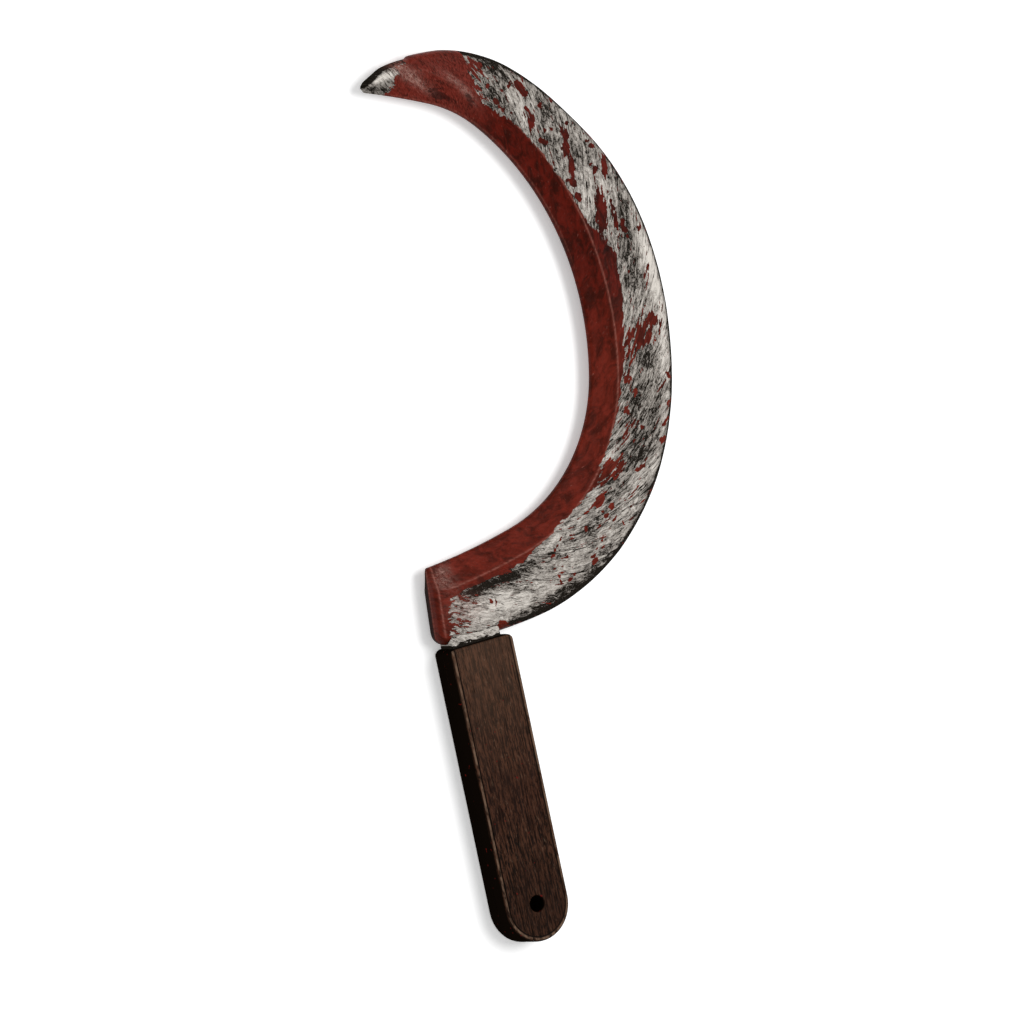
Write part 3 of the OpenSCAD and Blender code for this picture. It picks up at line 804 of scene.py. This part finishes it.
def red_ground(m, place, along, hatch):
    """The mottled red, darker along the middle of the blade and livelier by the tip."""
    tone = m.noise(m.stretched(place, 18, (0.1, 0.2, 1)), 7, 0.68, 0.8)
    red = m.mix(m.ramp(tone, 0.34, 0.66), rgb(64, 18, 8), rgb(108, 34, 22))
    dark = m.mix(m.ramp(tone, 0.38, 0.62), rgb(44, 9, 3), rgb(82, 16, 7))
    red = m.mix(m.ramp(along, 150, 215, 0, 0.8), red, dark)
    lively = m.math("MULTIPLY", m.ramp(along, 295, 325, 0, 0.8), m.ramp(hatch, 0.42, 0.6))
    return m.mix(lively, red, rgb(124, 50, 40))


def worn_red(m, place, red, wear_and_sheen, wear_and_highlight):
    """The red with pale worn streaks, dark gaps, painted highlight mixed with wear on the crests, and
    pale patches of wear and painted sheen.
    """
    worn = m.noise(m.stretched(place, 32, (0.3, 1.0, 1)), 7, 0.74, 0.3)
    pale = m.ramp(m.math("ADD", worn, m.math("MULTIPLY", wear_and_sheen, 0.2)), 0.60, 0.72)
    red = m.mix(m.math("MULTIPLY", pale, 0.62), red, rgb(156, 106, 94))
    gaps = m.ramp(m.noise(m.stretched(place, 30, (0.22, 0.34, 1)), 7, 0.74), 0.41, 0.33)
    red = m.mix(m.math("MULTIPLY", gaps, 0.6), red, rgb(34, 15, 10))
    # Painted highlight on the crests, mixed with wear.
    worn_highlight = m.math("MULTIPLY", wear_and_highlight, m.ramp(worn, 0.36, 0.62, 0.15, 0.7))
    red = m.mix(worn_highlight, red, rgb(150, 92, 80))
    # Pale patches: worn red, and on the heel a painted glossy reflection.
    return m.mix(m.math("MULTIPLY", wear_and_sheen, 0.6, True), red, rgb(160, 128, 118))


def blade_paint():
    """Black ground, brushed silver over it, red over both; lighter at the edges from wear and painted
    highlight, darker under smears and with painted shade on the back of the heel.
    """
    m = Nodes("blade_paint")
    along, wear_and_sheen = m.attribute("along"), m.attribute("wear_and_sheen")
    place = m.vector(along, m.attribute("across"))
    # Noises stretched along brush strokes; their scales are per millimetre
    stroke_body = m.noise(m.stretched(place, 28, (0.11, 1.1, 1)), 6, 0.66, 0.6)
    stroke_heel = m.noise(m.stretched(place, 10, (0.09, 1.4, 1)), 6, 0.66, 0.5)
    stroke = m.mix(m.ramp(along, 45, 75, 1, 0), stroke_body, stroke_heel)
    blotch = m.noise(m.stretched(place, 26, (0.2, 0.36, 1)), 7, 0.7, 1.2)
    hatch = m.noise(m.stretched(place, 50, (0.5, 2.9, 1)), 4, 0.7, 0.8)
    cross = m.noise(m.stretched(place, -24, (0.5, 2.6, 1)), 4, 0.7, 0.8)
    speck = m.noise(m.stretched(place, 30, (1.7, 2.6, 1)), 4, 0.7)
    parts = ((stroke, 3.2), (blotch, 5.6), (hatch, 2.9), (cross, 2.2), (speck, 2.2))
    level = silver_level(m, place, m.attribute("cover"), parts)
    silver = m.ramp(level, -0.05, 0.11)
    metal = metal_colour(m, level, silver, wear_and_sheen, hatch, speck)
    broken_sheen = m.math("MULTIPLY", wear_and_sheen, m.ramp(m.math("ADD", speck, blotch), 0.8, 1.2))
    red = worn_red(m, place, red_ground(m, place, along, hatch), broken_sheen,
                   m.attribute("wear_and_highlight"))
    fringe = m.math("MULTIPLY", m.math("SUBTRACT", hatch, 0.5), 0.9)
    is_red = m.ramp(m.math("ADD", m.attribute("red"), fringe), 0.38, 0.56)
    # Darkened under the smears and by the painted shade on the back of the heel.
    colour = m.mix(m.attribute("smear_and_shade"), m.mix(is_red, metal, red), rgb(22, 10, 7))
    m.feed(m.shader.inputs["Base Color"], colour)
    bare = m.math("MULTIPLY", silver, m.math("SUBTRACT", 1.0, is_red))
    m.feed(m.shader.inputs["Metallic"], m.math("MULTIPLY", bare, 0.3))
    rough = m.math("ADD", m.math("MULTIPLY", is_red, -0.08), m.math("MULTIPLY", speck, 0.2))
    m.feed(m.shader.inputs["Roughness"], m.math("ADD", rough, 0.36))
    shine = m.math("ADD", m.math("MULTIPLY", bare, 0.26), m.math("MULTIPLY", is_red, 0.04))
    m.feed(m.shader.inputs["Specular IOR Level"], shine)
    coat = m.bump(silver, 0.00015, 0.6)
    brushed = m.bump(stroke, 0.0006, 0.45, coat)
    m.feed(m.shader.inputs["Normal"], m.bump(hatch, 0.0003, 0.4, brushed))
    return m.material


def wood_tone(m, place, place_y, streaks):
    """Brown streaks and pores, lighter towards the blade and darker at the butt."""
    pores = m.noise(m.stretched(place, 5, (1100, 260, 400)), 4, 0.7, 0.5)
    cloud = m.noise(m.stretched(place, 0, (60, 25, 60)), 3, 0.5)
    tone = m.mix(m.ramp(streaks, 0.44, 0.57), rgb(19, 9, 5), rgb(75, 46, 32))
    tone = m.mix(m.ramp(pores, 0.46, 0.38), tone, rgb(12, 6, 3))
    tone = m.mix(m.ramp(pores, 0.60, 0.68, 0, 0.6), tone, rgb(108, 86, 70))
    tone = m.mix(m.ramp(cloud, 0.35, 0.65, 0, 0.4), tone, rgb(42, 22, 15))
    tone = m.mix(m.ramp(place_y, 0.05, 0.14, 0, 0.28), tone, rgb(98, 74, 58))
    return m.mix(m.ramp(place_y, 0.06, -0.01, 0, 0.45), tone, rgb(24, 14, 8))


def handle_inset(m, where):
    """Distance in millimetres from the handle's outline, in from its sides and its round butt."""
    below = m.math("MINIMUM", where["Y"], 0.0)
    aside = m.math("MULTIPLY", where["X"], where["X"])
    reach = m.math("SQRT", m.math("ADD", aside, m.math("MULTIPLY", below, below)))
    return m.math("SUBTRACT", HANDLE_W / 2, m.math("MULTIPLY", reach, 1 / MM))


def handle_plastic():
    """Dark brown moulded plastic with a thin painted highlight at the rounded edge, sides painted
    near-black as shade, and stray flecks.
    """
    m = Nodes("handle_plastic")
    place = m.put("ShaderNodeTexCoord").outputs["Object"]
    geometry = m.put("ShaderNodeNewGeometry")
    facing = m.put("ShaderNodeSeparateXYZ", None, Vector=geometry.outputs["True Normal"])
    level = m.math("ABSOLUTE", facing.outputs["Z"])
    where = m.put("ShaderNodeSeparateXYZ", None, Vector=place).outputs
    inset = handle_inset(m, where)
    # The noises' scales here are per metre
    streaks = m.noise(m.stretched(place, 0, (1150, 130, 400)), 4, 0.65, 0.6)
    tone = wood_tone(m, place, where["Y"], streaks)
    # Painted shade: faces that turn away from up or down, the sides, are coloured near-black.
    colour = m.mix(m.ramp(level, 0.35, 0.9), rgb(13, 8, 5), tone)
    patchy = m.ramp(m.noise(m.stretched(place, 0, (500, 160, 500)), 3, 0.6), 0.34, 0.6)
    # Painted highlight: a light band where the rounded edge begins, broken into patches.
    arris_highlight = m.math("MULTIPLY", m.ramp(inset, 0.8, 1.2), m.ramp(inset, 2.3, 1.8))
    arris_highlight = m.math("MULTIPLY", m.math("MULTIPLY", arris_highlight, m.ramp(level, 0.35, 0.6)), patchy)
    colour = m.mix(m.math("MULTIPLY", arris_highlight, 0.95), colour, rgb(108, 86, 70))
    line = m.math("MULTIPLY", m.ramp(inset, 2.2, 2.5), m.ramp(inset, 3.1, 2.8))
    line = m.math("MULTIPLY", line, m.ramp(level, 0.5, 0.8))
    colour = m.mix(m.math("MULTIPLY", line, 0.95), colour, rgb(8, 5, 3))
    flecks = m.ramp(m.noise(m.stretched(place, 0, (420, 420, 420)), 1, 0.5), 0.745, 0.77)
    colour = m.mix(m.math("MULTIPLY", flecks, 0.8), colour, rgb(96, 22, 18))
    m.feed(m.shader.inputs["Base Color"], colour)
    m.shader.inputs["Roughness"].default_value = 0.5
    m.feed(m.shader.inputs["Specular IOR Level"], m.ramp(level, 0.3, 0.9, 0, 0.03))
    m.feed(m.shader.inputs["Normal"], m.bump(streaks, 0.0003, 0.5))
    return m.material


def zinc_steel():
    """Zinc-plated steel of the screws."""
    m = Nodes("zinc_steel")
    place = m.put("ShaderNodeTexCoord").outputs["Object"]
    blotch = m.noise(m.stretched(place, 0, (700, 700, 700)), 3, 0.6)
    colour = m.mix(m.ramp(blotch, 0.35, 0.65), rgb(140, 138, 130), rgb(182, 180, 172))
    m.feed(m.shader.inputs["Base Color"], colour)
    m.shader.inputs["Metallic"].default_value = 1.0
    m.shader.inputs["Roughness"].default_value = 0.34
    m.feed(m.shader.inputs["Normal"], m.bump(blotch, 0.00008, 0.4))
    return m.material


def pale_floor():
    """Matte white with a slight glow of its own, which softens the shadow."""
    m = Nodes("pale_floor")
    m.shader.inputs["Base Color"].default_value = (0.92, 0.92, 0.92, 1)
    m.shader.inputs["Roughness"].default_value = 0.9
    m.shader.inputs["Specular IOR Level"].default_value = 0.1
    m.shader.inputs["Emission Color"].default_value = (1, 1, 1, 1)
    m.shader.inputs["Emission Strength"].default_value = FLOOR_GLOW
    return m.material


# ---------------------------------------------------------------- studio

def camera_axes():
    """The camera's right, up and back, from its turn, lift and roll about the handle."""
    t, p, r = (math.radians(a) for a in (CAMERA_TURN, CAMERA_LIFT, CAMERA_ROLL))
    back = Vector((-math.sin(t) * math.cos(p), math.sin(p), math.cos(t) * math.cos(p)))
    up = Vector((0, 1, 0))
    up = (up - back * up.dot(back)).normalized()
    right = up.cross(back)
    return (right * math.cos(r) - up * math.sin(r), up * math.cos(r) + right * math.sin(r), back)


def make_camera():
    right, up, back = camera_axes()
    data = bpy.data.cameras.new("camera")
    data.type = "ORTHO"
    data.ortho_scale = FRAME_MM * MM
    camera = bpy.data.objects.new("camera", data)
    aim = (Vector((0, 0, HANDLE_T)) + right * AIM_RIGHT + up * AIM_UP) * MM
    turn = Matrix((right, up, back)).transposed().to_4x4()
    camera.matrix_world = Matrix.Translation(aim + back * CAMERA_DISTANCE) @ turn
    bpy.context.scene.collection.objects.link(camera)
    bpy.context.scene.camera = camera


def make_key_light():
    data = bpy.data.lights.new("key", "AREA")
    data.shape = "DISK"
    data.size = KEY_SIZE
    data.energy = KEY_WATTS
    light = bpy.data.objects.new("key", data)
    way = Vector(KEY_WAY).normalized()
    light.location = Vector(KEY_AIM) + way * KEY_DISTANCE
    light.rotation_euler = way.to_track_quat("Z", "Y").to_euler()
    bpy.context.scene.collection.objects.link(light)


def make_floor():
    a = FLOOR_HALF
    z = back_low[2] * MM
    mesh = bpy.data.meshes.new("floor")
    mesh.from_pydata([(-a, -a, z), (a, -a, z), (a, a, z), (-a, a, z)], [], [(0, 1, 2, 3)])
    mesh.materials.append(pale_floor())
    link_mesh("floor", mesh)


def make_studio():
    world = bpy.data.worlds.new("studio")
    world.use_nodes = True
    background = world.node_tree.nodes["Background"]
    background.inputs["Color"].default_value = (1, 1, 1, 1)
    background.inputs["Strength"].default_value = WORLD_LIGHT
    bpy.context.scene.world = world
    bpy.context.scene.view_settings.view_transform = "Standard"
    make_camera()
    make_key_light()
    make_floor()


# ---------------------------------------------------------------- assembly

def finish_piece(obj, material, nodes):
    obj.data.materials.clear()
    obj.data.materials.append(material)
    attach(obj, "root")
    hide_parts(*nodes)


def join(obj, other):
    """Adds the other mesh to the first one's, with its attributes."""
    with bpy.context.temp_override(active_object=obj, selected_editable_objects=[obj, other]):
        bpy.ops.object.join()


blade_material = blade_paint()
handle_material = handle_plastic()
screw_material = zinc_steel()

for where, front in (("front", True), ("back", False)):
    blade = make_blade_half(f"blade_{where}_look", front)
    join(blade, make_neck(f"neck_{where}", front))
    finish_piece(blade, blade_material, [f"blade_{where}_half"])
    grip = make_handle_half(f"handle_{where}_look", front)
    finish_piece(grip, handle_material, [f"handle_{where}_half"])

for number in range(1, SCREWS + 1):
    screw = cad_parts[f"handle_screw_{number}"]
    screw.data.materials.clear()
    screw.data.materials.append(screw_material)

make_studio()
